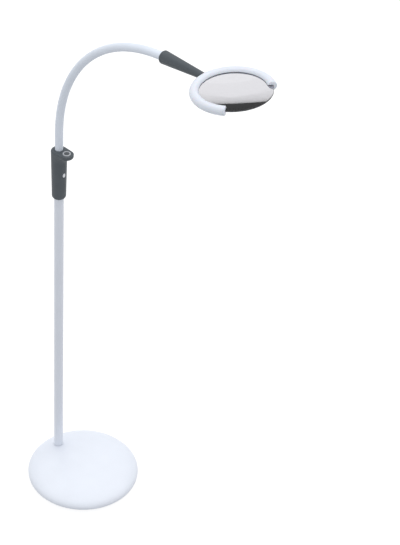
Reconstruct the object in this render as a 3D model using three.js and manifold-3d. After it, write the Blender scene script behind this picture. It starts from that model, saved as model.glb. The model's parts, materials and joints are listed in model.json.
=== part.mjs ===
// A magnifying floor lamp: weighted round base, lift-off pole, handle with a push button on a ledge,
// flexible arched neck, and a C-shaped light ring that holds a round lens.
// Millimetres. The origin is the centre of the base's underside, +Z is up, and the arm reaches to +X.
import * as THREE from 'three';
import { mergeVertices } from 'three/addons/utils/BufferGeometryUtils.js';
import Module from 'manifold-3d';

const wasm = await Module();
wasm.setup();

const GAP = 0.3; // between meshes that touch in the real lamp

// Base
const BASE_R = 107.5;
const BASE_WIDEST_Z = 12;
const BASE_TOP_Z = 34.4;
const DOME_POWER = 2.2;
const COVER_WALL = 2;
const COVER_BOTTOM_Z = 3;
const PAD_R = 92;
const PAD_TOP_Z = 2;
const PLATE_R = 95;
const PLATE_TOP_Z = 4.3;
const BALLAST_R = 90;
const BALLAST_TOP_Z = 20.4;
const PLATE_SCREW_R = 62; // from the base's centre to each screw
const PLATE_SCREW_ANGLES = [0, 115, -115];
const SUNK_SCREW_Z = PAD_TOP_Z + GAP + 0.2; // undersides of the sunk heads

// Pole
const POLE_X = -74;
const POLE_R = 8.8;
const POLE_WALL = 1.1;
const POLE_BOTTOM_Z = 26.8;
const SPIGOT_R = POLE_R - POLE_WALL - GAP;
const SOCKET_BORE_R = SPIGOT_R + GAP;

// Handle
const HANDLE_BOTTOM_Z = 649.4;
const HANDLE_TOP_Z = 757.1;
const HANDLE_BOTTOM_R = 13;
const HANDLE_TOP_R = 14.8;
const HANDLE_FOOT_H = 5; // height of the rounding at the bottom
const HANDLE_WALL = 2.2;
const LEDGE_TIP_R = 12.6;
const BUTTON_X = 20.6; // from the pole's axis
const BEZEL_R = 7.4;
const BUTTON_R = 4.6;
const BADGE_Z = HANDLE_TOP_Z - 52;
const BADGE_HALF_WIDTH = 2.9;
const BADGE_HALF_HEIGHT = 4.6;
const DC_INLET_Z = 668;
const HANDLE_SCREWS = [[6, 668], [-6, 700], [-6, 732]]; // x from the pole's axis, z
const POST_R = 2.8; // round the screws; their heads sit in wells of the same radius

// Neck: its centreline starts at the handle's top, goes straight up, arches, and ends straight
const ARM_R = 7.4;
const SLEEVE_BORE_R = 5.5;
const STRAIGHT = 35.5;
const ARCH_R = 297;
const HEAD_SLOPE = THREE.MathUtils.degToRad(7.06);
const ARCH_LENGTH = ARCH_R * (Math.PI / 2 - HEAD_SLOPE);
const LINKS = 10;
const FIRST_JOINT = 12;
const LINK_LENGTH = 43.6;
const SLEEVE_GAP = 4;
const BALL_R = 3.6;
const CUP_BORE_R = 4.1;
const CUP_R = 5.2;
const NECK_R = 2;

// Head, in its own frame: origin at the lens's centre, +X away from the arm, +Z up through the lens
const CENTRE_S = 620.5; // along the neck's centreline
const RING_R = 61.8;
const TUBE_R = 8;
const RING_OPEN = THREE.MathUtils.degToRad(57); // each side of +X
const LENS_R = 63.5;
const LENS_EDGE = 1.2; // half thickness
const LENS_BULGE = 3.72; // each side
const LENS_SLOT = 2.7; // half height of the slot that holds the lens
const GROOVE_HALF = 3.4; // half width of the groove for the lights, under the ring
const GROOVE_TOP_Z = -4.2;
const CAP_HALF = 1.2; // half thickness of the ring's end caps
const GRIP_START_X = 459.4 - CENTRE_S;
const GRIP_WIDE_R = 11.7;
const GRIP_NARROW_R = 6;
const GRIP_WALL = 1.9;
const GRIP_SCREWS_X = [-132, -97];
const STEM_R = 3.6;

// ---- building blocks ----

function toSolid(geometry) {
  const g = geometry.clone();
  g.deleteAttribute('normal');
  g.deleteAttribute('uv');
  const m = mergeVertices(g, 1e-4);
  return new wasm.Manifold(new wasm.Mesh({
    numProp: 3,
    vertProperties: new Float32Array(m.attributes.position.array),
    triVerts: new Uint32Array(m.index.array),
  }));
}

function toGeometry(solid) {
  const mesh = solid.getMesh();
  const g = new THREE.BufferGeometry();
  g.setAttribute('position', new THREE.BufferAttribute(new Float32Array(mesh.vertProperties), 3));
  g.setIndex(new THREE.BufferAttribute(new Uint32Array(mesh.triVerts), 1));
  return g;
}

// A body of revolution about Z from [radius, height] points
function turned(points, segments = 40) {
  const g = new THREE.LatheGeometry(points.map(([r, z]) => new THREE.Vector2(r, z)), segments);
  g.rotateX(Math.PI / 2);
  return toSolid(g);
}

function closed(points) {
  return [...points, points[0]];
}

function arc(cx, cy, r, from, to, steps) {
  return Array.from({ length: steps + 1 }, (_, i) => {
    const a = THREE.MathUtils.degToRad(from + ((to - from) * i) / steps);
    return [cx + r * Math.cos(a), cy + r * Math.sin(a)];
  });
}

function outline(points) {
  return new THREE.Shape(points.map(([x, y]) => new THREE.Vector2(x, y)));
}

function prismZ(points, z0, z1) {
  const g = new THREE.ExtrudeGeometry(outline(points), { depth: z1 - z0, bevelEnabled: false });
  g.translate(0, 0, z0);
  return toSolid(g);
}

// An XZ outline pulled along Y
function prismY(points, y0, y1) {
  const g = new THREE.ExtrudeGeometry(outline(points), { depth: y1 - y0, bevelEnabled: false });
  g.rotateX(Math.PI / 2);
  g.translate(0, y1, 0);
  return toSolid(g);
}

function block(x0, x1, y0, y1, z0, z1) {
  const g = new THREE.BoxGeometry(x1 - x0, y1 - y0, z1 - z0);
  g.translate((x0 + x1) / 2, (y0 + y1) / 2, (z0 + z1) / 2);
  return toSolid(g);
}

function rod(r, z0, z1, segments = 20) {
  return turned([[0, z0], [r, z0], [r, z1], [0, z1]], segments);
}

function moved(solid, x, y, z) {
  return solid.translate([x, y, z]);
}

// Turns a Z-axis body so that its axis lies along +X, +Y or -X
function alongX(solid) {
  return solid.rotate([0, 90, 0]);
}
function alongY(solid) {
  return solid.rotate([-90, 0, 0]);
}
function alongMinusX(solid) {
  return solid.rotate([0, -90, 0]);
}

// ---- the neck's centreline, from the middle of the handle's top face ----

function onArm(x, y, s) {
  const bent = THREE.MathUtils.clamp((s - STRAIGHT) / ARCH_R, 0, ARCH_LENGTH / ARCH_R);
  const beyond = s - STRAIGHT - bent * ARCH_R;
  const out = new THREE.Vector3(
    ARCH_R - (ARCH_R - x) * Math.cos(bent),
    y,
    (ARCH_R - x) * Math.sin(bent) + STRAIGHT,
  );
  out.x += beyond * Math.sin(bent);
  out.z += beyond * Math.cos(bent);
  return out;
}

function bentAlongArm(solid) {
  const g = toGeometry(solid);
  const p = g.attributes.position;
  for (let i = 0; i < p.count; i++) {
    const v = onArm(p.getX(i), p.getY(i), p.getZ(i));
    p.setXYZ(i, v.x, v.y, v.z);
  }
  return toSolid(g);
}

// ---- base ----

function domeZ(r, radius = BASE_R, top = BASE_TOP_Z) {
  const rise = top - BASE_WIDEST_Z;
  return BASE_WIDEST_Z + rise * (1 - (r / radius) ** DOME_POWER) ** (1 / DOME_POWER);
}

function domeProfile(radius, top, steps) {
  const points = [];
  for (let i = 0; i <= steps; i++) {
    const r = radius * Math.cos((i / steps) * Math.PI / 2) ** 0.9;
    points.push([i === steps ? 0 : r, domeZ(i === steps ? 0 : r, radius, top)]);
  }
  return points;
}

function baseCover() {
  const lip = BASE_R - 14.5;
  const outer = domeProfile(BASE_R, BASE_TOP_Z, 6);
  const inner = domeProfile(BASE_R - COVER_WALL, BASE_TOP_Z - COVER_WALL, 4).reverse();
  const shell = turned([
    ...inner, [BASE_R - 3.4, 9.8], [BASE_R - 6.8, 7.1], [BASE_R - 10.5, PLATE_TOP_Z + 1.8],
    [lip, PLATE_TOP_Z + 1.8], [lip, PLATE_TOP_Z + GAP], [PLATE_R + GAP, PLATE_TOP_Z + GAP],
    [PLATE_R + GAP, COVER_BOTTOM_Z], [BASE_R - 10, COVER_BOTTOM_Z], [BASE_R - 5.7, 5.4],
    [BASE_R - 1.9, 8.5], ...outer,
  ], 44);
  return shell.subtract(moved(rod(POLE_R + GAP, 10, 40), POLE_X, 0, 0));
}

function ballastWeight() {
  const z0 = PLATE_TOP_Z + GAP;
  let weight = turned([[0, z0], [BALLAST_R, z0], [BALLAST_R, BALLAST_TOP_Z - 3],
    [BALLAST_R - 3, BALLAST_TOP_Z], [0, BALLAST_TOP_Z]], 36);
  weight = weight.subtract(moved(rod(14, 0, 40), POLE_X, 0, 0));
  weight = weight.subtract(block(-120, POLE_X, -14, 14, 0, 40));
  for (const a of PLATE_SCREW_ANGLES) weight = weight.subtract(atScrew(rod(2.3, 0, 15, 12), a));
  return weight;
}

function atScrew(solid, degrees) {
  const a = THREE.MathUtils.degToRad(degrees);
  return moved(solid, PLATE_SCREW_R * Math.cos(a), PLATE_SCREW_R * Math.sin(a), 0);
}

function sunkScrew(bottom, shankTop, shankR = 2, headR = 3.8) {
  const slot = block(-headR * 0.6, headR * 0.6, -0.4, 0.4, bottom - 1, bottom + 0.9);
  const body = turned([[0, bottom], [headR, bottom], [shankR, bottom + headR - shankR],
    [shankR, shankTop], [0, shankTop]], 12);
  return body.subtract(slot);
}

function basePlate() {
  const bottom = PAD_TOP_Z + GAP;
  const sunk = (r) => turned([[0, 0], [r + 0.5, 0], [r + 0.5, bottom], [r + GAP + 0.2, bottom],
    [2.3, bottom + r - 2 + GAP], [2.3, 10], [0, 10]], 12);
  let plate = rod(PLATE_R, bottom, PLATE_TOP_Z, 40);
  for (const a of PLATE_SCREW_ANGLES) plate = plate.subtract(atScrew(sunk(3.8), a));
  return plate.subtract(moved(sunk(3.8), POLE_X, 0, 0));
}

function poleSocket() {
  const z0 = PLATE_TOP_Z + GAP;
  const body = turned([[0, z0], [12.5, z0], [12.5, z0 + 3.4], [9.6, z0 + 3.4], [9.6, 22.6],
    [POLE_R, 22.6], [POLE_R, POLE_BOTTOM_Z - GAP], [SOCKET_BORE_R, POLE_BOTTOM_Z - GAP],
    [SOCKET_BORE_R, 9.4], [0, 9.4]], 20);
  return body.subtract(rod(2.3, 0, 8.4, 16));
}

function footPad() {
  return turned([[0, 0], [PAD_R - 0.8, 0], [PAD_R, 0.8], [PAD_R, PAD_TOP_Z], [0, PAD_TOP_Z]], 40);
}

// ---- pole ----

function poleTube() {
  const top = HANDLE_BOTTOM_Z - GAP;
  const r = POLE_R - POLE_WALL;
  return turned(closed([[r, POLE_BOTTOM_Z], [POLE_R, POLE_BOTTOM_Z], [POLE_R, top], [r, top]]), 24);
}

function polePlug() {
  const z0 = 9.8;
  return turned([[0, z0], [SPIGOT_R - 1, z0], [SPIGOT_R, z0 + 1], [SPIGOT_R, 52], [0, 52]], 20);
}

// ---- handle ----

// The teardrop seen from above, pulled in by an inset
function teardrop(inset) {
  const back = HANDLE_TOP_R - inset;
  const tip = LEDGE_TIP_R - inset;
  const lean = THREE.MathUtils.radToDeg(Math.acos((back - tip) / BUTTON_X));
  return [...arc(0, 0, back, lean, 360 - lean, 14), ...arc(BUTTON_X, 0, tip, -lean, lean, 10)];
}

// The ledge seen from the side, pulled in by an inset
function ledgeSide(inset) {
  const top = HANDLE_TOP_Z - inset;
  const tip = new THREE.Vector2(BUTTON_X + LEDGE_TIP_R + 1, HANDLE_TOP_Z - 5.8 + inset);
  const bend = new THREE.Vector2(16.5 - inset, HANDLE_TOP_Z - 7.6 + inset);
  const root = new THREE.Vector2(12.5 - inset, HANDLE_TOP_Z - 28 + inset);
  const under = new THREE.QuadraticBezierCurve(tip, bend, root).getPoints(4).map((p) => [p.x, p.y]);
  return [[-1, root.y], [-1, top], [tip.x, top], ...under];
}

function handleForm(inset) {
  const z0 = HANDLE_BOTTOM_Z + inset;
  const z1 = HANDLE_TOP_Z - inset;
  const low = HANDLE_BOTTOM_R - inset;
  const foot = arc(0, 0, 1, -90, 0, 3).map(([x, z]) => [low + (x - 1) * 4, z0 + (z + 1) * HANDLE_FOOT_H]);
  const body = turned([[0, z0], ...foot, [HANDLE_TOP_R - inset, z1], [0, z1]], 28);
  const ledge = prismZ(teardrop(inset), HANDLE_TOP_Z - 40, z1 + 1)
    .intersect(prismY(ledgeSide(inset), -30, 30));
  return body.add(ledge);
}

// Handle screws run along Y from the +Y side; each sits in a pair of posts
function handlePosts(side) {
  let posts = null;
  for (const [x, z] of HANDLE_SCREWS) {
    const post = moved(alongY(rod(POST_R, GAP / 2, 14, 10)), x, 0, z);
    posts = posts ? posts.add(post) : post;
  }
  return side > 0 ? posts : posts.mirror([0, 1, 0]);
}

function handleShell(side) {
  const form = handleForm(0);
  let shell = form.subtract(handleForm(HANDLE_WALL));
  shell = shell.add(handlePosts(side).intersect(form));
  const keep = side > 0 ? block(-40, 60, GAP / 2, 40, 600, 800) : block(-40, 60, -40, -GAP / 2, 600, 800);
  shell = shell.intersect(keep);
  shell = shell.subtract(rod(ARM_R + GAP, HANDLE_TOP_Z - 6, HANDLE_TOP_Z + 2, 20));
  shell = shell.subtract(rod(SPIGOT_R + GAP, HANDLE_BOTTOM_Z - 2, HANDLE_BOTTOM_Z + 4, 20));
  shell = shell.subtract(moved(rod(BEZEL_R - 1, HANDLE_TOP_Z - 6, HANDLE_TOP_Z + 2, 20), BUTTON_X, 0, 0));
  shell = shell.subtract(moved(rod(BEZEL_R + GAP, HANDLE_TOP_Z - 1, HANDLE_TOP_Z + 2, 20), BUTTON_X, 0, 0));
  shell = shell.subtract(moved(alongMinusX(rod(4.6, 8, 20, 24)), 0, 0, DC_INLET_Z));
  for (const [x, z] of HANDLE_SCREWS) {
    shell = shell.subtract(moved(alongY(rod(1.55, -8, 20, 10)), x, 0, z));
    if (side > 0) shell = shell.subtract(moved(alongY(rod(POST_R, 8.6, 20, 12)), x, 0, z));
  }
  return shell.subtract(badgeRecess());
}

function handleSpigot() {
  const floor = HANDLE_BOTTOM_Z + HANDLE_WALL + 1.4;
  const tip = HANDLE_BOTTOM_Z - 26;
  return turned([[0, tip], [SPIGOT_R - 1, tip], [SPIGOT_R, tip + 1], [SPIGOT_R, floor], [8.4, floor],
    [8.4, floor + 2.5], [0, floor + 2.5]], 20);
}

function handleScrew(x, z) {
  const body = turned([[0, -6.5], [1.2, -6.5], [1.2, 8.9], [2.4, 8.9], [2.4, 10], [1.9, 10.5],
    [0, 10.5]], 10);
  const slot = block(-1.3, 1.3, -0.3, 0.3, 9.8, 12);
  return moved(alongY(body.subtract(slot)), x, 0, z);
}

// The handle's radius above its rounded foot
function handleR(z) {
  const foot = HANDLE_BOTTOM_Z + HANDLE_FOOT_H;
  const t = (z - foot) / (HANDLE_TOP_Z - foot);
  return HANDLE_BOTTOM_R + (HANDLE_TOP_R - HANDLE_BOTTOM_R) * t;
}

// A solid cone that follows the handle's side above and below the badge, larger by an offset
function handleCone(offset, reach) {
  const z0 = BADGE_Z - reach;
  const z1 = BADGE_Z + reach;
  return turned([[0, z0], [handleR(z0) + offset, z0], [handleR(z1) + offset, z1], [0, z1]], 44);
}

// An oval plate let into the front of the handle, facing +X
function badgeForm(clearance) {
  const a = BADGE_HALF_WIDTH + clearance;
  const b = BADGE_HALF_HEIGHT + clearance;
  const oval = arc(0, 0, 1, 0, 360, 18).slice(0, -1).map(([y, z]) => [y * a, z * b]);
  const bar = prismZ(oval, HANDLE_BOTTOM_R - 3, HANDLE_BOTTOM_R + 6);
  return moved(bar.rotate([90, 0, 90]), 0, 0, BADGE_Z);
}

function handleBadge() {
  return badgeForm(0).intersect(handleCone(0.2, 14)).subtract(handleCone(-1, 15));
}

function badgeRecess() {
  return badgeForm(GAP).subtract(handleCone(-1.3, 15));
}

function dcInlet() {
  const body = block(2.4, 9.4, -4.8, 4.8, -4.8, 4.8).add(alongX(rod(4.3, 9, 13.1, 24)));
  return moved(body.subtract(alongX(rod(3.2, 4.2, 20, 20))).rotate([0, 0, 180]), 0, 0, DC_INLET_Z);
}

function buttonBezel() {
  const z = HANDLE_TOP_Z;
  const bore = BUTTON_R + GAP;
  const skirt = BEZEL_R - 1 - GAP;
  const ring = turned(closed([[bore, z - 3.4], [skirt, z - 3.4], [skirt, z - 0.7], [BEZEL_R, z - 0.7],
    [BEZEL_R, z + 0.5], [BEZEL_R - 0.6, z + 1.1], [bore + 0.4, z + 1.1], [bore, z + 0.7]]), 20);
  return moved(ring, BUTTON_X, 0, 0);
}

function powerButton() {
  const z = HANDLE_TOP_Z;
  return moved(turned([[0, z - 2.6], [BUTTON_R, z - 2.6], [BUTTON_R, z + 0.5],
    [BUTTON_R - 0.6, z + 1], [0, z + 0.7]], 18), BUTTON_X, 0, 0);
}

function switchBoard() {
  return block(BUTTON_X - 6.5, BUTTON_X + 3.1, -6, 6, HANDLE_TOP_Z - 6.2, HANDLE_TOP_Z - 5.4);
}

function tactSwitch() {
  const x = BUTTON_X;
  const z = HANDLE_TOP_Z - 5.4 + GAP;
  return block(x - 3, x + 3, -3, 3, z, z + 0.9).add(moved(rod(1.6, z + 0.5, z + 1.2, 16), x, 0, 0));
}

function driverBoard() {
  let board = block(1.5, 3.1, -8.5, 8.5, 678, 724);
  board = board.add(block(3, 7, -5, 2, 684, 696)).add(block(3, 5.5, -6, 6, 702, 712));
  return board;
}

// ---- neck ----

function ballTip(z, steps = 4) {
  const start = -THREE.MathUtils.radToDeg(Math.acos(NECK_R / BALL_R));
  return arc(0, z, BALL_R, start, 90, steps).map(([r, h], i) => (i === steps ? [0, h] : [r, h]));
}

// Points of a cup that opens downwards round z, from its rim outside to the bottom of its bore
function cupBore(z, steps = 3) {
  const mouth = -THREE.MathUtils.radToDeg(Math.asin(2 / CUP_BORE_R));
  return arc(0, z, CUP_BORE_R, 90, mouth, steps).map(([r, h], i) => (i === 0 ? [0, h] : [r, h]));
}

function coreLink(k) {
  const z0 = FIRST_JOINT + k * LINK_LENGTH;
  const z1 = z0 + LINK_LENGTH;
  const middle = (z0 + z1) / 2;
  const waist = CUP_R - 0.7;
  return bentAlongArm(turned([...cupBore(z0), [CUP_R, z0 - 2], [CUP_R, z0 + 6], [waist, z0 + 7],
    [waist, middle], [waist, z1 - 5], [NECK_R, z1 - 4.5], ...ballTip(z1)], 10));
}

function sleeveSegment(k) {
  const z0 = FIRST_JOINT + k * LINK_LENGTH + SLEEVE_GAP / 2;
  const z1 = z0 + LINK_LENGTH - SLEEVE_GAP;
  const at = [0, 0.5, 1].map((t) => z0 + (z1 - z0) * t);
  const out = at.map((z) => [ARM_R, z]);
  const bore = at.map((z) => [SLEEVE_BORE_R, z]).reverse();
  return bentAlongArm(turned(closed([...out, ...bore]), 14));
}

function lowerFerrule() {
  const z1 = FIRST_JOINT;
  return bentAlongArm(turned([[0, -17], [6.4, -17], [6.4, -5.8], [9.2, -5.8], [9.2, -HANDLE_WALL - GAP],
    [ARM_R, -HANDLE_WALL - GAP], [ARM_R, z1 - 2], [SLEEVE_BORE_R, z1 - 2], [SLEEVE_BORE_R, z1 - 4.5],
    [NECK_R, z1 - 4.5], ...ballTip(z1)], 16));
}

function upperFerrule() {
  const z0 = FIRST_JOINT + LINKS * LINK_LENGTH;
  const inside = CENTRE_S + GRIP_START_X + GRIP_WALL + GAP;
  return bentAlongArm(turned([...cupBore(z0), [CUP_R, z0 - 2], [CUP_R, z0 + 2], [ARM_R, z0 + 2],
    [ARM_R, inside], [8.3, inside], [8.3, inside + 3], [6, inside + 3], [6, inside + 16],
    [0, inside + 16]], 16));
}

// ---- head ----

// Keeps the part of a ring outside the opening that faces +X
function openFront(solid, open) {
  const x = 200 * Math.cos(open);
  const y = 200 * Math.sin(open);
  return solid.subtract(prismZ([[0, 0], [x, -y], [300, -y], [300, y], [x, y]], -40, 40));
}

function ringTube() {
  return turned(closed(arc(RING_R, 0, TUBE_R, 0, 360, 16).slice(0, -1)), 48);
}

function ringBand(r0, r1, z0, z1) {
  return turned(closed([[r0, z0], [r1, z0], [r1, z1], [r0, z1]]), 40);
}

function lensSlot() {
  return rod(LENS_R + GAP, -LENS_SLOT, LENS_SLOT, 48);
}

function headHousing() {
  const groove = ringBand(RING_R - GROOVE_HALF, RING_R + GROOVE_HALF, -TUBE_R - 1, GROOVE_TOP_Z);
  const stem = alongMinusX(rod(STEM_R, RING_R + 3.6, 90));
  const ring = ringTube().subtract(groove).add(stem);
  return openFront(ring, RING_OPEN + (CAP_HALF + GAP) / RING_R).subtract(lensSlot());
}

function endCap(side) {
  const a0 = RING_OPEN - CAP_HALF / RING_R;
  const a1 = RING_OPEN + CAP_HALF / RING_R;
  const far = 100;
  const wedge = prismZ([[0, 0], [far * Math.cos(a0), far * Math.sin(a0)],
    [far * Math.cos(a1), far * Math.sin(a1)]], -20, 20);
  const cap = ringTube().subtract(lensSlot()).intersect(wedge);
  return side > 0 ? cap : cap.mirror([0, 1, 0]);
}

function ledBoard() {
  const half = GROOVE_HALF - 0.4;
  const top = GROOVE_TOP_Z - GAP;
  return openFront(ringBand(RING_R - half, RING_R + half, top - 0.8, top), RING_OPEN + 3 / RING_R);
}

function diffuser() {
  const half = GROOVE_HALF - GAP;
  const strip = turned(closed([[RING_R - half, -6], [RING_R - half, -7], [RING_R - half / 2, -7.7],
    [RING_R + half / 2, -7.7], [RING_R + half, -7], [RING_R + half, -6]]), 40);
  return openFront(strip, RING_OPEN + 2 / RING_R);
}

function lensBody() {
  const ball = (LENS_R ** 2 + LENS_BULGE ** 2) / (2 * LENS_BULGE);
  const face = Array.from({ length: 5 }, (_, i) => {
    const r = LENS_R * (1 - i / 4);
    return [r, LENS_EDGE + LENS_BULGE - ball + Math.sqrt(ball ** 2 - r ** 2)];
  });
  const under = face.map(([r, z]) => [r, -z]).reverse();
  return turned([...under, ...face], 48);
}

function gripForm(inset) {
  const x0 = GRIP_START_X + inset;
  const x1 = -RING_R;
  const body = turned([[0, x0], [GRIP_WIDE_R - inset - 1.2, x0], [GRIP_WIDE_R - inset, x0 + 1.2],
    [gripR(x1) - inset, x1], [0, x1]], 20);
  return alongX(body);
}

function gripR(x) {
  const t = (x - GRIP_START_X) / (-RING_R - TUBE_R - GRIP_START_X);
  return GRIP_WIDE_R + (GRIP_NARROW_R - GRIP_WIDE_R) * t;
}

function gripShell(side) {
  const form = gripForm(0);
  let posts = null;
  for (const x of GRIP_SCREWS_X) {
    const post = moved(side > 0 ? rod(2.3, GAP / 2, 14, 10) : rod(2.3, -14, -GAP / 2, 10), x, 0, 0);
    posts = posts ? posts.add(post) : post;
  }
  let shell = form.subtract(gripForm(GRIP_WALL)).add(posts.intersect(form));
  shell = shell.subtract(alongX(rod(ARM_R + GAP, GRIP_START_X - 2, GRIP_START_X + 6, 20)));
  shell = shell.subtract(turned(closed(arc(RING_R, 0, TUBE_R + GAP, 0, 345, 23)), 96));
  shell = shell.subtract(alongX(rod(STEM_R + GAP, -91, -60, 20)));
  const keep = side > 0 ? block(-170, -60, -20, 20, GAP / 2, 20) : block(-170, -60, -20, 20, -20, -GAP / 2);
  shell = shell.intersect(keep);
  for (const x of GRIP_SCREWS_X) {
    const depth = gripR(x) - 2.4;
    shell = shell.subtract(moved(rod(1.3, -20, depth - 1, 10), x, 0, 0));
    if (side < 0) shell = shell.subtract(moved(rod(2.15, -20, -depth, 12), x, 0, 0));
  }
  return shell;
}

function gripScrew(x) {
  const depth = gripR(x) - 2.4;
  const head = turned([[0, -depth - 1.6], [1.4, -depth - 1.6], [1.8, -depth - 1.2], [1.8, -depth - GAP],
    [0.95, -depth - GAP], [0.95, depth - 1.5], [0, depth - 1.5]], 10);
  const slot = block(-1, 1, -0.25, 0.25, -depth - 3, -depth - 0.9);
  return moved(head.subtract(slot), x, 0, 0);
}

// ---- assembly ----

const WHITE = { color: 0xe9ecf2, roughness: 0.45 };
const DARK = { color: 0x50555b, roughness: 0.5 };
const STEEL = { color: 0xa9adb2, roughness: 0.35, metalness: 0.9 };
const IRON = { color: 0x4a4a4c, roughness: 0.8, metalness: 0.6 };
const BLACK = { color: 0x1d1e20, roughness: 0.6 };
const BOARD = { color: 0x1f5b3a, roughness: 0.6 };

function group(name, parent, x, z) {
  const g = new THREE.Group();
  g.name = name;
  g.position.set(x, 0, z);
  if (parent) parent.add(g);
  return g;
}

function put(parent, name, solid, look) {
  const g = toGeometry(solid);
  g.computeVertexNormals();
  const mesh = new THREE.Mesh(g, new THREE.MeshStandardMaterial({ name, ...look }));
  mesh.name = name;
  parent.add(mesh);
}

const lamp = group('magnifying_lamp', null, 0, 0);
put(lamp, 'base_cover', baseCover(), WHITE);
put(lamp, 'ballast_weight', ballastWeight(), IRON);
put(lamp, 'base_plate', basePlate(), STEEL);
put(lamp, 'foot_pad', footPad(), { color: 0x2c2d2f, roughness: 0.9 });
PLATE_SCREW_ANGLES.forEach((a, i) => {
  put(lamp, `plate_screw_${i + 1}`, atScrew(sunkScrew(SUNK_SCREW_Z, 13), a), STEEL);
});

const column = group('column', lamp, POLE_X, 0);
put(column, 'pole_socket', poleSocket(), STEEL);
put(column, 'socket_screw', sunkScrew(SUNK_SCREW_Z, 8), STEEL);
put(column, 'pole_tube', poleTube(), WHITE);
put(column, 'pole_plug', polePlug(), STEEL);
put(column, 'handle_shell_left', handleShell(1), DARK);
put(column, 'handle_shell_right', handleShell(-1), DARK);
put(column, 'handle_spigot', handleSpigot(), STEEL);
put(column, 'handle_badge', handleBadge(), { color: 0xf4f5f7, roughness: 0.3 });
HANDLE_SCREWS.forEach(([x, z], i) => put(column, `handle_screw_${i + 1}`, handleScrew(x, z), STEEL));
put(column, 'dc_inlet', dcInlet(), BLACK);
put(column, 'driver_board', driverBoard(), BOARD);
put(column, 'switch_board', switchBoard(), BOARD);
put(column, 'tact_switch', tactSwitch(), BLACK);
put(column, 'button_bezel', buttonBezel(), { color: 0xb4b7bc, roughness: 0.4 });
put(column, 'power_button', powerButton(), { color: 0x3d4046, roughness: 0.6 });

const neck = group('neck', column, 0, HANDLE_TOP_Z);
put(neck, 'arm_ferrule_lower', lowerFerrule(), WHITE);
for (let k = 0; k < LINKS; k++) {
  put(neck, `core_link_${k + 1}`, coreLink(k), STEEL);
  put(neck, `sleeve_segment_${k + 1}`, sleeveSegment(k), { color: 0xe6e9ef, roughness: 0.6 });
}
put(neck, 'arm_ferrule_upper', upperFerrule(), WHITE);

const centre = onArm(0, 0, CENTRE_S);
const head = group('head', neck, centre.x, centre.z);
head.rotation.y = -HEAD_SLOPE;
put(head, 'grip_upper_shell', gripShell(1), DARK);
put(head, 'grip_lower_shell', gripShell(-1), DARK);
GRIP_SCREWS_X.forEach((x, i) => put(head, `grip_screw_${i + 1}`, gripScrew(x), STEEL));
put(head, 'head_housing', headHousing(), WHITE);
put(head, 'led_board', ledBoard(), { color: 0xf0f0ea, roughness: 0.6 });
put(head, 'diffuser', diffuser(), { color: 0xf7f6f0, roughness: 0.5 });
put(head, 'end_cap_left', endCap(1), WHITE);
put(head, 'end_cap_right', endCap(-1), WHITE);
put(head, 'lens', lensBody(), { color: 0xdfe6ea, roughness: 0.05, transparent: true, opacity: 0.4 });

export default lamp;
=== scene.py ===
import json
import math

import bmesh
import bpy
from mathutils import Matrix, Vector


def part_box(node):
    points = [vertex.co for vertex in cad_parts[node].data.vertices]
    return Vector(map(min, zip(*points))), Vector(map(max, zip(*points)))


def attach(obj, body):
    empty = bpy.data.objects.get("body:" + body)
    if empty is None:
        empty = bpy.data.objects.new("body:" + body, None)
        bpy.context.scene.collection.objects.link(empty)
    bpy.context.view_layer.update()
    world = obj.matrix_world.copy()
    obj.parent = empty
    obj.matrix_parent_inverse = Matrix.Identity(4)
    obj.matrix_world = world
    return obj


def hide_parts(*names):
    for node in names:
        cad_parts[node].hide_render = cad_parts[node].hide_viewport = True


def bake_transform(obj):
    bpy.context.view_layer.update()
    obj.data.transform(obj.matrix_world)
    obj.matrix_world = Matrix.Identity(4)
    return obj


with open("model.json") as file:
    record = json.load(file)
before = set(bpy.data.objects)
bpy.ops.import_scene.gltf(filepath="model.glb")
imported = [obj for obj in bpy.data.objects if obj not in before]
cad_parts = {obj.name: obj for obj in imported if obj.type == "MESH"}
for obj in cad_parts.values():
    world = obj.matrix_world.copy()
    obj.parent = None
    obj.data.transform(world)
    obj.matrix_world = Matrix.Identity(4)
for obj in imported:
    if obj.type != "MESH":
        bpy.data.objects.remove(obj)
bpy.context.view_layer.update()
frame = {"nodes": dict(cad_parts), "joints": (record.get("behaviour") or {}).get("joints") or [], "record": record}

MM = 0.001
GAP = 0.3 * MM  # between neighbouring pieces, as in the CAD
FIT = 0.2 * MM  # round a piece that sits in a visual shell
SEAM_HALF = 0.12 * MM  # half the line between two moulded halves
SHARP_EDGE = 35.0  # degrees; softer edges are shaded smooth
JOINTS = {joint["name"]: joint for joint in frame["joints"]}


def span(node, axis):
    """The lowest and highest place of a CAD node along one axis."""
    low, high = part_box(node)
    return low[axis], high[axis]


def middle(node, axis):
    return sum(span(node, axis)) / 2


# ---- places and sizes, read from the frame or worked out from it ----

BASE_R = (span("base_cover", 0)[1] - span("base_cover", 0)[0]) / 2
BASE_LOW, BASE_TOP = span("base_cover", 2)
BASE_WIDEST = 12 * MM
DOME_POWER = 2.2
PAD_R = (span("foot_pad", 0)[1] - span("foot_pad", 0)[0]) / 2
PAD_TOP = span("foot_pad", 2)[1]

POLE_X = middle("pole_tube", 0)
POLE_R = (span("pole_tube", 1)[1] - span("pole_tube", 1)[0]) / 2
POLE_LOW, POLE_TOP = span("pole_tube", 2)

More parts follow.
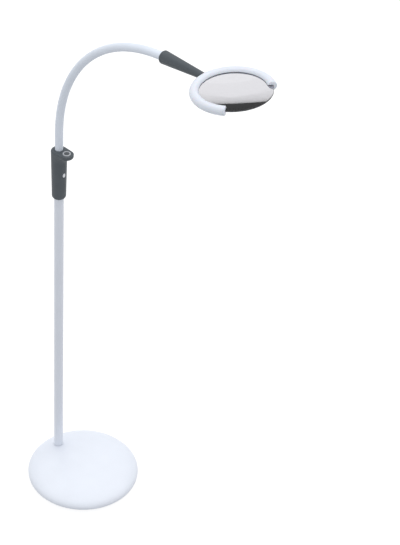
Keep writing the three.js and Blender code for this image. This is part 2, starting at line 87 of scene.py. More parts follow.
HANDLE_LOW, HANDLE_TOP = span("handle_shell_left", 2)
HANDLE_LOW_R = 13 * MM
HANDLE_TOP_R = 14.8 * MM
HANDLE_FOOT_H = 5 * MM
HANDLE_WALL = 2.2 * MM
SHOULDER_DROP = 2.2 * MM
SHOULDER_FILLET = 2.4 * MM
BUTTON_X = middle("power_button", 0) - POLE_X
LEDGE_TIP_R = span("handle_shell_left", 0)[1] - POLE_X - BUTTON_X
BEZEL_R = (span("button_bezel", 0)[1] - span("button_bezel", 0)[0]) / 2
BUTTON_R = (span("power_button", 0)[1] - span("power_button", 0)[0]) / 2
BADGE_Z = middle("handle_badge", 2)
BADGE_HALF_WIDTH = (span("handle_badge", 1)[1] - span("handle_badge", 1)[0]) / 2
BADGE_HALF_HEIGHT = (span("handle_badge", 2)[1] - span("handle_badge", 2)[0]) / 2
DC_INLET_Z = middle("dc_inlet", 2)
HANDLE_SCREWS = [(middle(f"handle_screw_{i}", 0), middle(f"handle_screw_{i}", 2)) for i in (1, 2, 3)]

ARM_R = (span("sleeve_segment_1", 1)[1] - span("sleeve_segment_1", 1)[0]) / 2
SLEEVE_BORE_R = 5.8 * MM  # 0.3 mm over the CAD bore, to clear the hinged links when the sleeve bends
STRAIGHT = 35.5 * MM
ARCH_R = 297 * MM
HEAD_SLOPE = math.radians(7.06)
ARCH_ANGLE = math.pi / 2 - HEAD_SLOPE
FIRST_JOINT = JOINTS["neck_bend_1"]["pos_m"][2] - HANDLE_TOP
LINK_LENGTH = 43.6 * MM
LINKS = 10
CENTRE_S = 620.5 * MM  # the lens's centre, along the neck

LENS_R = (span("lens", 1)[1] - span("lens", 1)[0]) / 2
LENS_EDGE = 1.2 * MM
LENS_BULGE = 3.72 * MM
LENS_SLOT = 2.7 * MM
RING_R = 61.8 * MM
TUBE_R = (span("head_housing", 1)[1] - span("head_housing", 1)[0]) / 2 - RING_R
RING_OPEN = math.radians(57)
CAP_HALF = 1.2 * MM
GROOVE_HALF = 3.4 * MM
GROOVE_TOP = -4.2 * MM
GRIP_START = 459.4 * MM - CENTRE_S
GRIP_WIDE_R = 11.7 * MM
GRIP_NARROW_R = 6 * MM
GRIP_WALL = 1.9 * MM
GRIP_SCREWS = (-132 * MM, -97 * MM)


# ---- materials ----

def nodes_of(name):
    material = bpy.data.materials.new(name)
    material.use_nodes = True
    tree = material.node_tree
    return material, tree, tree.nodes["Principled BSDF"]


def add_node(tree, kind, **values):
    """A new node; each value goes to the input of that name, with _ for a space."""
    node = tree.nodes.new(kind)
    for key, value in values.items():
        node.inputs[key.replace("_", " ")].default_value = value
    return node


def noise(tree, scale, detail=3.0, stretch=None):
    """Noise in the object's own metres, so its grain keeps its real size."""
    place = add_node(tree, "ShaderNodeTexCoord")
    texture = add_node(tree, "ShaderNodeTexNoise", Scale=scale, Detail=detail)
    source = place.outputs["Object"]
    if stretch:
        mapping = add_node(tree, "ShaderNodeMapping")
        mapping.inputs["Scale"].default_value = stretch
        tree.links.new(source, mapping.inputs["Vector"])
        source = mapping.outputs["Vector"]
    tree.links.new(source, texture.inputs["Vector"])
    return texture.outputs["Fac"]


def between(tree, fac, low, high):
    ramp = add_node(tree, "ShaderNodeMapRange", From_Min=0.3, From_Max=0.7, To_Min=low, To_Max=high)
    tree.links.new(fac, ramp.inputs["Value"])
    return ramp.outputs["Result"]


def two_tone(tree, fac, first, second):
    ramp = add_node(tree, "ShaderNodeValToRGB")
    ramp.color_ramp.elements[0].position = 0.32
    ramp.color_ramp.elements[1].position = 0.68
    ramp.color_ramp.elements[0].color = (*first, 1)
    ramp.color_ramp.elements[1].color = (*second, 1)
    tree.links.new(fac, ramp.inputs["Fac"])
    return ramp.outputs["Color"]


def shade(colour, factor):
    return tuple(min(1.0, c * factor) for c in colour)


def bumped(tree, shader, height, strength, depth):
    bump = add_node(tree, "ShaderNodeBump", Strength=strength, Distance=depth)
    tree.links.new(height, bump.inputs["Height"])
    tree.links.new(bump.outputs["Normal"], shader.inputs["Normal"])


def coated(name, colour, roughness, grain, depth, spread=0.03, patch=18.0, **extra):
    """A moulded, painted or rubbery surface: faint cloudy colour, uneven gloss and a fine grain."""
    material, tree, shader = nodes_of(name)
    cloud = noise(tree, patch, 4.0)
    tint = two_tone(tree, cloud, shade(colour, 1 - spread), shade(colour, 1 + spread))
    tree.links.new(tint, shader.inputs["Base Color"])
    gloss = between(tree, noise(tree, grain / 6, 2.0), roughness - 0.05, roughness + 0.06)
    tree.links.new(gloss, shader.inputs["Roughness"])
    bumped(tree, shader, noise(tree, grain, 3.0), 0.35, depth)
    for key, value in extra.items():
        shader.inputs[key.replace("_", " ")].default_value = value
    return material


def metal(name, colour, roughness, stretch):
    material, tree, shader = nodes_of(name)
    brushed = noise(tree, 900.0, 4.0, stretch)
    tint = two_tone(tree, noise(tree, 60.0), shade(colour, 0.9), shade(colour, 1.05))
    tree.links.new(tint, shader.inputs["Base Color"])
    gloss = between(tree, brushed, roughness - 0.07, roughness + 0.1)
    tree.links.new(gloss, shader.inputs["Roughness"])
    shader.inputs["Metallic"].default_value = 1.0
    bumped(tree, shader, brushed, 0.2, 0.03 * MM)
    return material


def glass(name):
    material, tree, shader = nodes_of(name)
    shader.inputs["Base Color"].default_value = (0.68, 0.675, 0.7, 1)
    shader.inputs["Transmission Weight"].default_value = 1.0
    shader.inputs["IOR"].default_value = 1.49
    gloss = between(tree, noise(tree, 25.0), 0.0, 0.012)
    tree.links.new(gloss, shader.inputs["Roughness"])
    return material


def circuit(name, colour, trace):
    """Solder mask with paler copper tracks showing through it."""
    material, tree, shader = nodes_of(name)
    place = add_node(tree, "ShaderNodeTexCoord")
    cells = add_node(tree, "ShaderNodeTexBrick", Scale=240.0, Mortar_Size=0.06)
    cells.inputs["Color1"].default_value = (*colour, 1)
    cells.inputs["Color2"].default_value = (*shade(colour, 0.85), 1)
    cells.inputs["Mortar"].default_value = (*trace, 1)
    tree.links.new(place.outputs["Object"], cells.inputs["Vector"])
    tree.links.new(cells.outputs["Color"], shader.inputs["Base Color"])
    gloss = between(tree, noise(tree, 300.0), 0.3, 0.45)
    tree.links.new(gloss, shader.inputs["Roughness"])
    return material


WHITE = (0.82, 0.86, 0.93)
DARK = (0.082, 0.096, 0.107)
LOOKS = {
    "white_paint": coated("white_paint", WHITE, 0.36, 1500.0, 0.05 * MM, 0.015, Coat_Weight=0.2,
                          Coat_Roughness=0.25),
    "white_plastic": coated("white_plastic", WHITE, 0.33, 2600.0, 0.02 * MM, 0.015,
                            Subsurface_Weight=0.05, Subsurface_Scale=2 * MM),
    "sleeve": coated("sleeve", (0.84, 0.9, 0.985), 0.5, 2200.0, 0.03 * MM, 0.02, 30.0,
                     Sheen_Weight=0.15, Sheen_Roughness=0.4),
    "dark_plastic": coated("dark_plastic", DARK, 0.52, 2400.0, 0.05 * MM, 0.05, 40.0,
                            Specular_IOR_Level=0.35),
    "button_dark": coated("button_dark", shade(DARK, 0.75), 0.5, 2400.0, 0.04 * MM, 0.05, 90.0),
    "bezel_grey": coated("bezel_grey", (0.42, 0.44, 0.46), 0.3, 2000.0, 0.02 * MM, 0.04, 90.0),
    "badge": coated("badge", (0.86, 0.87, 0.9), 0.18, 900.0, 0.01 * MM, 0.02, 90.0, Coat_Weight=0.5),
    "black_plastic": coated("black_plastic", (0.02, 0.02, 0.023), 0.45, 2400.0, 0.04 * MM, 0.08, 90.0),
    "pad_rubber": coated("pad_rubber", (0.03, 0.031, 0.034), 0.75, 900.0, 0.25 * MM, 0.12, 25.0),
    "diffuser": coated("diffuser", (0.85, 0.85, 0.82), 0.55, 1800.0, 0.03 * MM, 0.01,
                       Transmission_Weight=0.35),
    "board": circuit("board", (0.01, 0.09, 0.04), (0.06, 0.2, 0.09)),
    "led_white": circuit("led_white", (0.75, 0.75, 0.7), (0.6, 0.6, 0.5)),
    "led_phosphor": coated("led_phosphor", (0.85, 0.62, 0.12), 0.35, 1800.0, 0.02 * MM, 0.05, 90.0),
    "steel": metal("steel", (0.55, 0.56, 0.58), 0.3, (1, 1, 12)),
    "iron": metal("iron", (0.09, 0.09, 0.095), 0.62, (1, 1, 1)),
    "lens": glass("lens"),
}
SLOT_OF = {part["node"]: part["material_slot"] for part in frame["record"]["subparts"]}
for node_name, node in frame["nodes"].items():
    node.data.materials.clear()
    node.data.materials.append(LOOKS[SLOT_OF[node_name]])


# ---- mesh making ----

def rounded(corners, closed=False, steps=5):
    """A 2-D outline of (x, y, fillet radius) corners, with each fillet as a true arc."""
    points = []
    count = len(corners)
    for i, (x, y, fillet) in enumerate(corners):
        here = Vector((x, y))
        at_end = not closed and i in (0, count - 1)
        if not fillet or at_end:
            points.append(here)
            continue
        before = Vector(corners[i - 1][:2]) - here
        after = Vector(corners[(i + 1) % count][:2]) - here
        half = before.angle(after) / 2
        reach = min(fillet / math.tan(half), before.length * 0.49, after.length * 0.49)
        first = here + before.normalized() * reach
        last = here + after.normalized() * reach
        weight = math.sin(half)
        for k in range(steps + 1):
            t = k / steps
            a, b, c = (1 - t) ** 2, 2 * weight * t * (1 - t), t ** 2
            points.append((first * a + here * b + last * c) / (a + b + c))
    return [(p.x, p.y) for p in points]


def add_object(name, bm, slot=None, sharp=SHARP_EDGE):
    """Makes the mesh an object, smooth apart from its sharp edges."""
    bmesh.ops.remove_doubles(bm, verts=bm.verts, dist=2e-7)
    bmesh.ops.dissolve_degenerate(bm, edges=bm.edges, dist=1e-7)
    bmesh.ops.recalc_face_normals(bm, faces=bm.faces)
    for face in bm.faces:
        face.smooth = True
    limit = math.radians(sharp)
    for edge in bm.edges:
        edge.smooth = len(edge.link_faces) == 2 and edge.calc_face_angle() < limit
    mesh = bpy.data.meshes.new(name)
    bm.to_mesh(mesh)
    bm.free()
    piece = bpy.data.objects.new(name, mesh)
    bpy.context.scene.collection.objects.link(piece)
    if slot:
        mesh.materials.append(LOOKS[slot])
    return piece


def loft(name, rings, slot=None, closed=False, sharp=SHARP_EDGE):
    """Skins equal rings of points one after another, with a cap on each open end."""
    bm = bmesh.new()
    rows = [[bm.verts.new(p) for p in ring] for ring in rings]
    count = len(rings[0])
    for a, b in zip(rows, rows[1:] + rows[:1] if closed else rows[1:]):
        for i in range(count):
            j = (i + 1) % count
            bm.faces.new((a[i], a[j], b[j], b[i]))
    if not closed:
        bm.faces.new(rows[0])
        bm.faces.new(rows[-1])
    return add_object(name, bm, slot, sharp)


def turned(name, profile, slot=None, count=64, closed=False, place=None, sharp=SHARP_EDGE):
    """A body of revolution about Z. place maps each point to where it belongs."""
    place = place or (lambda point: point)
    rings = []
    for radius, height in profile:
        rings.append([
            place(Vector((radius * math.cos(2 * math.pi * i / count),
                          radius * math.sin(2 * math.pi * i / count), height)))
            for i in range(count)
        ])
    return loft(name, rings, slot, closed, sharp)


def at(x):
    """Moves a part along X."""
    return lambda point: point + Vector((x, 0, 0))


def facing(direction, x, y, z):
    """Turns a Z-axis body to point along a direction, at a place."""
    turn = Vector(direction).to_track_quat("Z", "Y").to_matrix()
    return lambda point: turn @ point + Vector((x, y, z))


def solid_block(x0, x1, y0, y1, z0, z1, place=None):
    place = place or (lambda point: point)
    corners = [(x0, y0), (x1, y0), (x1, y1), (x0, y1)]
    return loft("block", [[place(Vector((x, y, z))) for x, y in corners] for z in (z0, z1)])


def plug(radius, z0, z1, x=0.0):
    """An upright round cutter, at a distance along X from the pole's axis."""
    return turned("plug", [(0, z0), (radius, z0), (radius, z1), (0, z1)], place=at(POLE_X + x))


def bar(radius, direction, place, start=0.0):
    """A round cutter, 20 mm long, that points along a direction."""
    end = start + 20 * MM
    profile = [(0, start), (radius, start), (radius, end), (0, end)]
    return turned("bar", profile, count=40, place=facing(direction, *place))


def discard(piece):
    bpy.data.objects.remove(piece)


def weld(mesh):
    """Closes the tiny gaps and slivers that a cut leaves, and marks the sharp edges again."""
    bm = bmesh.new()
    bm.from_mesh(mesh)
    bmesh.ops.remove_doubles(bm, verts=bm.verts, dist=1e-6)
    bmesh.ops.dissolve_degenerate(bm, edges=bm.edges, dist=1e-6)
    limit = math.radians(SHARP_EDGE)
    for face in bm.faces:
        face.smooth = True
    for edge in bm.edges:
        edge.smooth = len(edge.link_faces) == 2 and edge.calc_face_angle(0) < limit
    bm.to_mesh(mesh)
    bm.free()


def combine(piece, cutters, operation="DIFFERENCE"):
    """Applies the cutters one by one and removes them: a cut, or with INTERSECT what they keep."""
    for cutter in cutters:
        change = piece.modifiers.new("change", "BOOLEAN")
        change.operation = operation
        change.object = cutter
        change.solver = "EXACT"
        graph = bpy.context.evaluated_depsgraph_get()
        mesh = bpy.data.meshes.new_from_object(piece.evaluated_get(graph))
        piece.modifiers.clear()
        piece.data = mesh
        discard(cutter)
        weld(mesh)
        if not mesh.polygons:
            raise RuntimeError(f"cutting {piece.name} left nothing of it")
    return piece


def copy_of(piece):
    twin = piece.copy()
    twin.data = piece.data.copy()
    bpy.context.scene.collection.objects.link(twin)
    return twin


def put(piece, body, *nodes):
    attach(piece, body)
    if nodes:
        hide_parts(*nodes)


def screw(name, head_r, head_h, shank_r, length, place):
    """A pan-head screw with a cross recess; its head points along +Z and sits above zero."""
    profile = rounded([(0, -length, 0), (shank_r, -length + shank_r, 0), (shank_r, 0, 0), (head_r, 0, 0),
                       (head_r, head_h, head_h * 0.8), (0, head_h * 1.05, 0)])
    body = turned(name, profile, "steel", 32, place=place)
    wing, width, deep = head_r * 0.62, head_r * 0.13, head_h * 0.6
    cutters = [solid_block(-wing, wing, -width, width, head_h - deep, head_h * 2, place),
               solid_block(-width, width, -wing, wing, head_h - deep, head_h * 2, place)]
    return combine(body, cutters)


# ---- base ----

def dome_height(radius, limit, top):
    inside = max(0.0, 1 - (radius / limit) ** DOME_POWER)
    return BASE_WIDEST + (top - BASE_WIDEST) * inside ** (1 / DOME_POWER)


def base_dome():
    steps = 48
    mouth_r = PAD_R + 3.3 * MM
    rim = rounded([(mouth_r, BASE_LOW + 1.4 * MM, 0), (mouth_r, BASE_LOW, 0.4 * MM),
                   (BASE_R - 9.6 * MM, BASE_LOW, 1.5 * MM), (BASE_R - 3.6 * MM, BASE_LOW + 3.6 * MM, 8 * MM),
                   (BASE_R - 0.1 * MM, BASE_WIDEST - 2 * MM, 5 * MM), (BASE_R, BASE_WIDEST, 0)], steps=8)
    dome = []
    for i in range(1, steps + 1):
        radius = BASE_R * math.cos(i / steps * math.pi / 2) ** 0.9 if i < steps else 0.0
        dome.append((radius, dome_height(radius, BASE_R, BASE_TOP)))
    wall = 2 * MM
    inner = []
    for i in range(steps // 2 + 1):
        radius = (BASE_R - wall) * math.sin(i / (steps / 2) * math.pi / 2) ** 0.9 if i else 0.0
        inner.append((radius, dome_height(radius, BASE_R - wall, BASE_TOP - wall)))
    lip = [(BASE_R - 4.2 * MM, 8.8 * MM), (BASE_R - 8 * MM, 6.4 * MM), (BASE_R - 14.5 * MM, 6.1 * MM),
           (BASE_R - 14.5 * MM, 4.6 * MM), (mouth_r, 4.6 * MM)]
    dome_piece = turned("base_dome", inner + lip + rim + dome, "white_paint", 144)
    put(combine(dome_piece, [plug(POLE_R + GAP, 0, BASE_TOP * 1.5)]), "base", "base_cover")


def base_foot():
    """The rubber pad, with shallow rings in its underside."""
    groove, pitch = 0.5 * MM, 12 * MM
    profile = [(0, 0)]
    radius = pitch
    while radius < PAD_R - pitch / 2:
        profile += [(radius, 0), (radius + 0.4 * MM, groove), (radius + 2 * MM, groove),
                    (radius + 2.4 * MM, 0)]
        radius += pitch
    edge = rounded([(PAD_R - 3 * MM, 0, 0), (PAD_R, 0, 0.8 * MM), (PAD_R, PAD_TOP, 0.3 * MM),
                    (0, PAD_TOP, 0)])
    put(turned("base_foot", profile + edge, "pad_rubber", 128), "base", "foot_pad")


# ---- pole ----

def pole():
    wall = 1.1 * MM
    profile = rounded([(POLE_R - wall, POLE_LOW, 0.2 * MM), (POLE_R, POLE_LOW, 0.5 * MM),
                       (POLE_R, POLE_TOP, 0.5 * MM), (POLE_R - wall, POLE_TOP, 0.2 * MM)], closed=True)
    put(turned("pole", profile, "white_paint", 72, closed=True, place=at(POLE_X)), "pole", "pole_tube")


# ---- handle ----

def body_radius(z):
    """The round body's radius, which grows towards the top."""
    low = HANDLE_LOW + HANDLE_FOOT_H
    t = min(1.0, max(0.0, (z - low) / (HANDLE_TOP - low)))
    return HANDLE_LOW_R + (HANDLE_TOP_R - HANDLE_LOW_R) * t


def teardrop(z, reach, inset, count=120):
    """The handle's outline at a height: a round body drawn out by a share of the ledge's reach."""
    back = body_radius(z)
    tip = back + (LEDGE_TIP_R - back) * reach
    centre = BUTTON_X * reach
    points = []
    for i in range(count):
        a = 2 * math.pi * i / count
        on_tip = centre * math.cos(a) + tip > back
        x, r = (centre, tip) if on_tip else (0.0, back)
        points.append(Vector((POLE_X + x + (r - inset) * math.cos(a), (r - inset) * math.sin(a), z)))
    return points


def shoulder(x):
    """How much of the sloping shoulder there is: all of it on the body, none on the ledge."""
    t = min(1.0, max(0.0, (12.5 * MM - (x - POLE_X)) / (14 * MM)))
    return t * t * (3 - 2 * t)


def top_ring(inset, soft, turn, slope):
    """One ring of the handle's top: turn goes up round the edge, then slope goes in over the shoulder."""
    flat = teardrop(HANDLE_TOP - inset, 1, inset)
    ring = []
    for point in flat:
        share = shoulder(point.x)
        fillet = soft + max(0.0, SHOULDER_FILLET - inset) * share
        inward = fillet * (1 - math.cos(turn)) + 3.2 * MM * slope
        fall = 1 - math.sin(slope * math.pi / 2)
        drop = fillet * (1 - math.sin(turn)) + SHOULDER_DROP * share * fall
        centre = Vector((POLE_X + (BUTTON_X if point.x - POLE_X > BUTTON_X * 0.5 else 0), 0, point.z))
        ring.append(point + (centre - point).normalized() * inward - Vector((0, 0, drop)))
    return ring


def handle_form(name, inset, soft):
    """The whole handle: a rounded foot, a tapered body and the ledge, pulled in by an inset."""
    low = HANDLE_LOW + inset
    foot = low + HANDLE_FOOT_H
    rings = []
    for i in range(9):
        a = i / 8 * math.pi / 2
        height = low + HANDLE_FOOT_H * (1 - math.cos(a))
        rings.append(teardrop(height, 0, inset + 4 * MM * (1 - math.sin(a))))
    root = HANDLE_TOP - 27 * MM + inset
    shoulder_foot = min(point.z for point in top_ring(inset, soft, 0, 0))
    brim = min(HANDLE_TOP - 6.2 * MM + inset, shoulder_foot - 0.3 * MM)
    rings += [teardrop(foot + (root - foot) * i / 6, 0, inset) for i in range(1, 7)]
    for i in range(1, 17):
        t = i / 16 * math.pi / 2
        reach = (1 - math.cos(t)) * 0.97
        rings.append(teardrop(root + (brim - root) * math.sin(t), reach, inset))
    rings += [top_ring(inset, soft, i / 7 * math.pi / 2, 0) for i in range(8)]
    rings += [top_ring(inset, soft, math.pi / 2, i / 6) for i in range(1, 7)]
    return loft(name, rings)


def on_front(across, up, out):
    """A point on the handle's front face, by its distance across and up from the badge's middle."""
    z = BADGE_Z + up
    radius = body_radius(z)
    turn = across / radius
    return Vector((POLE_X + (radius + out) * math.cos(turn), (radius + out) * math.sin(turn), z))


def oval(grow, out, count=48):
    a, b = BADGE_HALF_WIDTH + grow, BADGE_HALF_HEIGHT + grow
    return [on_front(a * math.cos(2 * math.pi * i / count), b * math.sin(2 * math.pi * i / count), out)
            for i in range(count)]


def handle_shells():
    shell = handle_form("handle", 0, 1.3 * MM)
    top = HANDLE_TOP
    cutters = [
        handle_form("inside", HANDLE_WALL, 0.4 * MM),
        plug(ARM_R + 0.25 * MM, top - 8 * MM, top + 5 * MM),
        turned("flare", [(0, top - 1 * MM), (ARM_R + FIT, top - 1 * MM), (ARM_R + 2.2 * MM, top + 1 * MM),
                         (0, top + 1 * MM)], place=at(POLE_X)),
        plug(BEZEL_R - 0.9 * MM, top - 8 * MM, top + 5 * MM, BUTTON_X),
        plug(BEZEL_R + FIT, top - 0.9 * MM, top + 5 * MM, BUTTON_X),
        plug(POLE_R - 1 * MM, HANDLE_LOW - 5 * MM, HANDLE_LOW + 6 * MM),
        bar(4.5 * MM, (-1, 0, 0), (POLE_X, 0, DC_INLET_Z), start=8 * MM),
        loft("recess", [oval(0.2 * MM, -1.1 * MM), oval(0.2 * MM, 2 * MM)]),
    ]
    cutters += [bar(2.7 * MM, (0, 1, 0), (x, 8.7 * MM, z)) for x, z in HANDLE_SCREWS]
    combine(shell, cutters)
    for side, name in ((1, "left"), (-1, "right")):
        half = copy_of(shell)
        half.name = f"handle_{name}"
        near, far = sorted((side * SEAM_HALF, side * 60 * MM))
        keep = solid_block(POLE_X - 60 * MM, POLE_X + 80 * MM, near, far, HANDLE_LOW - 0.1, top + 0.1)
        combine(half, [keep], "INTERSECT")
        half.data.materials.clear()
        half.data.materials.append(LOOKS["dark_plastic"])
        put(half, "handle", f"handle_shell_{name}")
    discard(shell)


def handle_trim():
    badge = loft("badge", [oval(-0.1 * MM, -1 * MM), oval(0, -0.9 * MM), oval(0, -0.1 * MM),
                           oval(-0.15 * MM, 0.1 * MM), oval(-0.5 * MM, 0.2 * MM), oval(-1.6 * MM, 0.3 * MM),
                           oval(-3 * MM, 0.35 * MM)], "badge")
    put(badge, "handle", "handle_badge")
    for i, (x, z) in enumerate(HANDLE_SCREWS, 1):
        head = screw(f"shell_screw_{i}", 2.35 * MM, 1.4 * MM, 1.2 * MM, 15 * MM,
                     facing((0, 1, 0), x, 9 * MM, z))
        put(head, "handle", f"handle_screw_{i}")
    mouth = facing((-1, 0, 0), POLE_X, 0, DC_INLET_Z)
    barrel = rounded([(3.2 * MM, 4.4 * MM, 0), (3.2 * MM, 13 * MM, 0.5 * MM), (4.3 * MM, 13 * MM, 0.4 * MM),
                      (4.3 * MM, 2.4 * MM, 0), (0, 2.4 * MM, 0)])
    put(turned("power_inlet", barrel, "black_plastic", 48, place=mouth), "handle", "dc_inlet")
    core = rounded([(0, 4.2 * MM, 0), (1 * MM, 4.2 * MM, 0), (1 * MM, 11 * MM, 0.6 * MM), (0, 11 * MM, 0)])
    put(turned("inlet_pin", core, "steel", 24, place=mouth), "handle")


def button_parts():
    top, axis = HANDLE_TOP, at(POLE_X + BUTTON_X)
    bore_r = BUTTON_R + GAP
    profile = rounded([(bore_r, top - 3.3 * MM, 0), (BEZEL_R - 1.2 * MM, top - 3.3 * MM, 0),
                       (BEZEL_R - 1.2 * MM, top - 0.7 * MM, 0), (BEZEL_R, top - 0.7 * MM, 0),
                       (BEZEL_R, top + 1.1 * MM, 1 * MM), (bore_r, top + 1.1 * MM, 0.5 * MM)],
                      closed=True)
    put(turned("bezel", profile, "bezel_grey", 64, closed=True, place=axis), "handle", "button_bezel")
    dish = rounded([(0, top - 2.6 * MM, 0), (BUTTON_R, top - 2.6 * MM, 0.2 * MM),
                    (BUTTON_R, top + 1 * MM, 0.6 * MM), (BUTTON_R * 0.7, top + 0.85 * MM, 3 * MM),
                    (0, top + 0.45 * MM, 0)])
    put(turned("push_button", dish, "button_dark", 56, place=axis), "power_button", "power_button")


# ---- neck ----

def on_arm(point):
    """Bends a straight part, whose Z is the distance along the neck, onto the neck's line."""
    bent = min(max((point.z - STRAIGHT) / ARCH_R, 0.0), ARCH_ANGLE)
    beyond = point.z - STRAIGHT - bent * ARCH_R
    return Vector((
        POLE_X + ARCH_R - (ARCH_R - point.x) * math.cos(bent) + beyond * math.sin(bent),
        point.y,
        HANDLE_TOP + STRAIGHT + (ARCH_R - point.x) * math.sin(bent) + beyond * math.cos(bent),
    ))


def sleeve_piece(k):
    """One joint's stretch of the sleeve, from the middle of one link to the middle of the next."""
    joint = FIRST_JOINT + k * LINK_LENGTH
    start = joint - LINK_LENGTH / 2 if k else -3 * MM
    mouth = CENTRE_S + GRIP_START
    end = joint + LINK_LENGTH / 2 if k < LINKS else mouth + 3 * MM
    steps = max(4, round((end - start) / (2 * MM)))
    heights = [start + (end - start) * i / steps for i in range(steps + 1)]
    profile = [(ARM_R, h) for h in heights] + [(SLEEVE_BORE_R, h) for h in reversed(heights)]
    piece = turned(f"sleeve_{k + 1}", profile, "sleeve", 56, closed=True, place=on_arm)
    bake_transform(piece)
    if k == 0:
        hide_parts("arm_ferrule_lower")
    elif k < LINKS:
        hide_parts(f"sleeve_segment_{k}")
    else:
        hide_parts(f"sleeve_segment_{k}", "arm_ferrule_upper")


# ---- head, built round the lens's centre and then laid along the neck's end ----

HEAD = Matrix.Translation(on_arm(Vector((0, 0, CENTRE_S)))) @ Matrix.Rotation(-HEAD_SLOPE, 4, "Y")


def in_head(point):
    return HEAD @ point


def ring_section(radius, grooved=True):
    """The light ring's section as (outwards, up): round, slotted inside for the lens, grooved below."""
    slot_end = LENS_R + GAP - RING_R
    low = math.asin(GROOVE_HALF / radius) if grooved else 0.0
    side = math.asin(LENS_SLOT / radius)

    def arc(start, end, steps):
        return [(radius * math.cos(start + (end - start) * i / steps),
                 radius * math.sin(start + (end - start) * i / steps)) for i in range(steps + 1)]

    points = arc(-math.pi / 2 + low, math.pi - side, 36)
    points += [(slot_end, LENS_SLOT * 0.7), (slot_end, -LENS_SLOT * 0.7)]
    points += arc(math.pi + side, 3 * math.pi / 2 - low, 12)
    if grooved:
        return points + [(-GROOVE_HALF, GROOVE_TOP), (GROOVE_HALF, GROOVE_TOP)]
    return points[:-1]


def swept(name, sections, slot):
    """Sections (angle about the lens, outline) skinned into one arc of the ring."""
    rings = []
    for angle, outline in sections:
        c, s = math.cos(angle), math.sin(angle)
        rings.append([in_head(Vector(((RING_R + out) * c, (RING_R + out) * s, up))) for out, up in outline])
    return loft(name, rings, slot)


def light_ring():
    start = RING_OPEN + (CAP_HALF + 0.1 * MM) / RING_R
    end = 2 * math.pi - start
    steps = 120
    outline = ring_section(TUBE_R)
    housing = swept("ring_housing", [(start + (end - start) * i / steps, outline) for i in range(steps + 1)],
                    "white_plastic")
    put(housing, "head", "head_housing")
    for side, name in ((1, "left"), (-1, "right")):
        sections = []
        for i in range(7):
            turn = i / 6 * math.pi / 2
            out = CAP_HALF if i == 0 else 0.4 * MM - 1.6 * MM * math.sin(turn)
            radius = TUBE_R - 1.6 * MM * (1 - math.cos(turn))
            sections.append((side * (RING_OPEN + out / RING_R), ring_section(radius, grooved=False)))
        put(swept(f"ring_cap_{name}", sections, "white_plastic"), "head", f"end_cap_{name}")


def ring_strip(name, outline, slot, margin):
    start, end = RING_OPEN + margin / RING_R, 2 * math.pi - RING_OPEN - margin / RING_R
    steps = 100
    return swept(name, [(start + (end - start) * i / steps, outline) for i in range(steps + 1)], slot)


def light_strip():
    half = GROOVE_HALF - 0.4 * MM
    top = GROOVE_TOP - GAP
    bottom = top - 0.8 * MM
    board = [(-half, bottom), (half, bottom), (half, top), (-half, top)]
    put(ring_strip("light_board", board, "led_white", 3 * MM), "head", "led_board")
    width, radius, cover_top = GROOVE_HALF - FIT, TUBE_R - 0.15 * MM, -6.6 * MM
    low = [(width * t / 4, -math.sqrt(radius ** 2 - (width * t / 4) ** 2)) for t in range(-4, 5)]
    cover = low + [(width, cover_top), (-width, cover_top)]
    put(ring_strip("light_cover", cover, "diffuser", 2 * MM), "head", "diffuser")
    put(light_chips(bottom), "head")


def light_chips(board_z):
    """Square LED packages along the board, each a white frame round a yellow window."""
    count, half, thick, window = 36, 1.4 * MM, 0.6 * MM, 1 * MM
    first = RING_OPEN + math.radians(5)
    last = 2 * math.pi - first
    bm = bmesh.new()
    for i in range(count):
        turn = Matrix.Rotation(first + (last - first) * i / (count - 1), 3, "Z")
        loops = []
        for size, z in ((half, board_z), (half, board_z - thick), (window, board_z - thick),
                        (window, board_z - thick * 0.8)):
            loops.append([bm.verts.new(in_head(turn @ Vector((RING_R + x * size, y * size, z))))
                          for x, y in ((-1, -1), (1, -1), (1, 1), (-1, 1))])
        for a, b in zip(loops, loops[1:]):
            for j in range(4):
                bm.faces.new((a[j], a[(j + 1) % 4], b[(j + 1) % 4], b[j]))
        bm.faces.new(loops[0])
        bm.faces.new(loops[-1]).material_index = 1
    chips = add_object("light_chips", bm, "led_white", 20)
    chips.data.materials.append(LOOKS["led_phosphor"])
    return chips


def lens():
    ball = (LENS_R ** 2 + LENS_BULGE ** 2) / (2 * LENS_BULGE)
    bevel = 0.35 * MM
    face = []
    for i in range(41):
        radius = (LENS_R - bevel) * math.cos(i / 40 * math.pi / 2)
        face.append((radius, LENS_EDGE + LENS_BULGE - ball + math.sqrt(ball ** 2 - radius ** 2)))
    face[-1] = (0.0, face[-1][1])
    rim = [(LENS_R, -LENS_EDGE + bevel * 0.6), (LENS_R, LENS_EDGE - bevel * 0.6)]
    profile = [(r, -z) for r, z in reversed(face)] + rim + face
    put(turned("magnifier", profile, "lens", 160, place=in_head, sharp=25.0), "head", "lens")


def along_grip(point):
    """Lays a Z-axis part along the head's X axis."""
    return in_head(Vector((point.z, point.y, -point.x)))


def grip_radius(x):
    t = (x - GRIP_START) / (-RING_R - TUBE_R - GRIP_START)
    return GRIP_WIDE_R + (GRIP_NARROW_R - GRIP_WIDE_R) * t


def grip_form(name, inset, soft, end):
    profile = rounded([(0, GRIP_START + inset, 0), (GRIP_WIDE_R - inset, GRIP_START + inset, soft),
                       (grip_radius(end) - inset, end, 0), (0, end, 0)], steps=7)
    return turned(name, profile, count=80, place=along_grip)


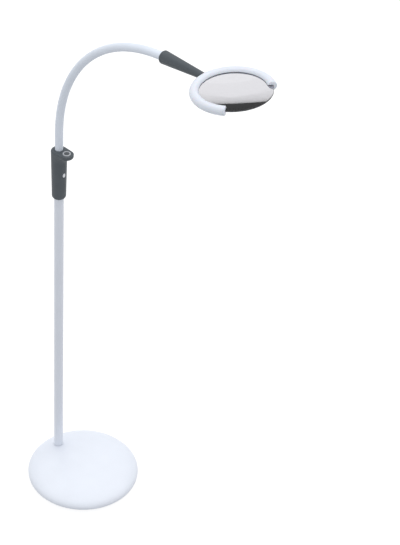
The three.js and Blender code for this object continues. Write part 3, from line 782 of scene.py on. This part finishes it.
def grip():
    shell = grip_form("grip", 0, 2.2 * MM, -RING_R)
    radius = TUBE_R + FIT
    around = [2 * math.pi * i / 48 for i in range(48)]
    section = [(RING_R + radius * math.cos(a), radius * math.sin(a)) for a in around]
    before, after = GRIP_START - 5 * MM, GRIP_START + 6 * MM
    cutters = [
        grip_form("inside", GRIP_WALL, 0.4 * MM, -RING_R + 3 * MM),
        turned("ring", section, count=160, closed=True, place=in_head),
        turned("bore", [(0, before), (ARM_R + FIT, before), (ARM_R + FIT, after), (0, after)],
               place=along_grip),
    ]
    for x in GRIP_SCREWS:
        floor = -grip_radius(x) + 2.2 * MM
        profile = [(0, -20 * MM), (2 * MM, -20 * MM), (2 * MM, floor), (0, floor)]
        cutters.append(turned("well", profile, count=32,
                              place=lambda p, x=x: in_head(p + Vector((x, 0, 0)))))
    combine(shell, cutters)
    for side, name in ((1, "upper"), (-1, "lower")):
        half = copy_of(shell)
        half.name = f"grip_{name}"
        low, high = sorted((side * SEAM_HALF, side * 30 * MM))
        combine(half, [solid_block(-0.2, 0, -0.04, 0.04, low, high, in_head)], "INTERSECT")
        half.data.materials.clear()
        half.data.materials.append(LOOKS["dark_plastic"])
        put(half, "head", f"grip_{name}_shell")
    discard(shell)
    for i, x in enumerate(GRIP_SCREWS, 1):
        base = -grip_radius(x) + 2.3 * MM
        head = screw(f"grip_fastener_{i}", 1.75 * MM, 1.1 * MM, 0.95 * MM, 8 * MM,
                     lambda p, x=x, base=base: in_head(Vector((p.x + x, -p.y, base - p.z))))
        put(head, "head", f"grip_screw_{i}")


# ---- the studio ----

CAMERA_AZIMUTH = math.radians(44.21)
CAMERA_ELEVATION = math.radians(39.99)
CAMERA_ROLL = math.radians(-3.22)
CAMERA_DISTANCE = 4.3132
AIM_RIGHT, AIM_UP = 0.20766, 0.40881  # the view's middle, from the base's centre
FOCAL_LENGTH = 144.63
FLOOR_HALF = 30  # metres
SUN_TILT = math.radians(-11)


def camera():
    data = bpy.data.cameras.new("camera")
    data.lens = FOCAL_LENGTH
    right = Vector((math.cos(CAMERA_AZIMUTH), math.sin(CAMERA_AZIMUTH), 0))
    ahead = Vector((-math.sin(CAMERA_AZIMUTH) * math.cos(CAMERA_ELEVATION),
                    math.cos(CAMERA_AZIMUTH) * math.cos(CAMERA_ELEVATION), -math.sin(CAMERA_ELEVATION)))
    up = right.cross(ahead)
    rolled_right = right * math.cos(CAMERA_ROLL) - up * math.sin(CAMERA_ROLL)
    rolled_up = right * math.sin(CAMERA_ROLL) + up * math.cos(CAMERA_ROLL)
    turn = Matrix((rolled_right, rolled_up, -ahead)).transposed().to_4x4()
    viewer = bpy.data.objects.new("camera", data)
    viewer.matrix_world = Matrix.Translation(AIM_RIGHT * right + AIM_UP * up - CAMERA_DISTANCE * ahead) @ turn
    bpy.context.scene.collection.objects.link(viewer)
    bpy.context.scene.camera = viewer


def studio():
    """A sky that pales with height, a floor that is white by its own light, and one wide soft sun."""
    world = bpy.data.worlds.new("studio")
    world.use_nodes = True
    tree = world.node_tree
    place = add_node(tree, "ShaderNodeTexCoord")
    height = add_node(tree, "ShaderNodeSeparateXYZ")
    ramp = add_node(tree, "ShaderNodeValToRGB")
    ramp.color_ramp.elements[0].position = 0.3
    ramp.color_ramp.elements[0].color = (0.38, 0.39, 0.41, 1)
    ramp.color_ramp.elements[1].position = 0.55
    ramp.color_ramp.elements[1].color = (0.74, 0.745, 0.765, 1)
    half = add_node(tree, "ShaderNodeMapRange", From_Min=-1.0, From_Max=1.0)
    tree.links.new(place.outputs["Generated"], height.inputs["Vector"])
    tree.links.new(height.outputs["Z"], half.inputs["Value"])
    tree.links.new(half.outputs["Result"], ramp.inputs["Fac"])
    tree.links.new(ramp.outputs["Color"], tree.nodes["Background"].inputs["Color"])
    bpy.context.scene.world = world
    bm = bmesh.new()
    bmesh.ops.create_grid(bm, x_segments=8, y_segments=8, size=FLOOR_HALF)
    floor = add_object("floor", bm)
    floor.data.materials.append(coated("floor_paper", (0.3, 0.3, 0.3), 0.8, 60.0, 0.1 * MM, 0.004, 1.5,
                                       Emission_Color=(1, 1, 1, 1), Emission_Strength=0.82))
    floor.visible_diffuse = False
    data = bpy.data.lights.new("overhead", "SUN")
    data.energy = 1.0
    data.angle = math.radians(70)
    light = bpy.data.objects.new("overhead", data)
    light.rotation_euler = (SUN_TILT, SUN_TILT, 0)
    bpy.context.scene.collection.objects.link(light)
    bpy.context.scene.view_settings.view_transform = "Standard"


camera()
base_dome()
base_foot()
pole()
handle_shells()
handle_trim()
button_parts()
for number in range(LINKS + 1):
    sleeve_piece(number)
light_ring()
light_strip()
lens()
grip()
studio()
